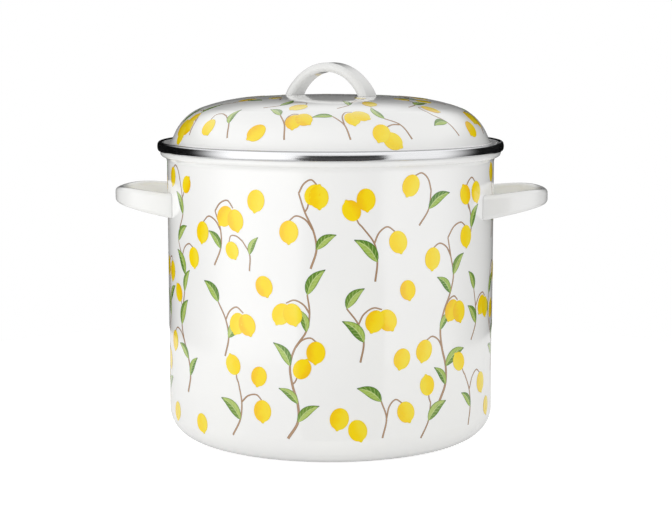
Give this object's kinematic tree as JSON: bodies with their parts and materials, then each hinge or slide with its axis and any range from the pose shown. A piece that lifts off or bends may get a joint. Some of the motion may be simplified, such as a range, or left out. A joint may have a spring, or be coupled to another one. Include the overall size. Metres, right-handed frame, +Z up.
{
  "type": "water bath canner",
  "caption": "Tall round enamelled pot with a domed lid, loop handles and a lift-out wire rack for preserving jars.",
  "frame": {"origin": "centre of the base, on the surface that the pot stands on", "axes": "+Z up; +X through the right side handle; +Y away from the front"},
  "size_m": [0.4184, 0.3336, 0.3584],
  "materials": {
    "enamel": "white vitreous enamel on steel, glossy, with a printed pattern",
    "stainless_band": "polished stainless steel",
    "rack_wire": "bright chromed steel wire"
  },
  "bodies": {
    "pot": {"pot_shell": "enamel", "rim_band": "stainless_band", "handle_left": "enamel", "handle_right": "enamel"},
    "rack": {"rack_base_ring": "rack_wire", "rack_upper_ring": "rack_wire", "rack_hub_ring": "rack_wire", "rack_inner_ring": "rack_wire", "rack_outer_ring": "rack_wire", "rack_spoke_1": "rack_wire", "rack_spoke_2": "rack_wire", "rack_spoke_3": "rack_wire", "rack_spoke_4": "rack_wire", "rack_spoke_5": "rack_wire", "rack_spoke_6": "rack_wire", "rack_divider_1": "rack_wire", "rack_divider_2": "rack_wire", "rack_divider_3": "rack_wire", "rack_divider_4": "rack_wire", "rack_divider_5": "rack_wire", "rack_divider_6": "rack_wire", "rack_foot_1": "rack_wire", "rack_foot_2": "rack_wire", "rack_foot_3": "rack_wire", "rack_eye_1": "rack_wire", "rack_eye_3": "rack_wire", "rack_eye_4": "rack_wire", "rack_eye_6": "rack_wire"},
    "lid": {"lid_shell": "enamel", "lid_handle": "enamel"},
    "left_bail": {"bail_left": "rack_wire"},
    "right_bail": {"bail_right": "rack_wire"}
  },
  "joints": [
    {"name": "rack_lift", "type": "slide", "parent": "pot", "child": "rack", "axis": [0, 0, 1], "range_m": [0, 0.3]},
    {"name": "lid_lift", "type": "slide", "parent": "rack", "child": "lid", "axis": [0, 0, 1], "range_m": [0, 0.15]},
    {"name": "right_bail_fold", "type": "hinge", "parent": "rack", "child": "right_bail", "pos_m": [0.118, 0, 0.1052], "axis": [0, 1, 0], "range_deg": [-98, 0]},
    {"name": "left_bail_fold", "type": "hinge", "parent": "rack", "child": "left_bail", "pos_m": [-0.118, 0, 0.1052], "axis": [0, -1, 0], "range_deg": [-95, 0]}
  ]
}
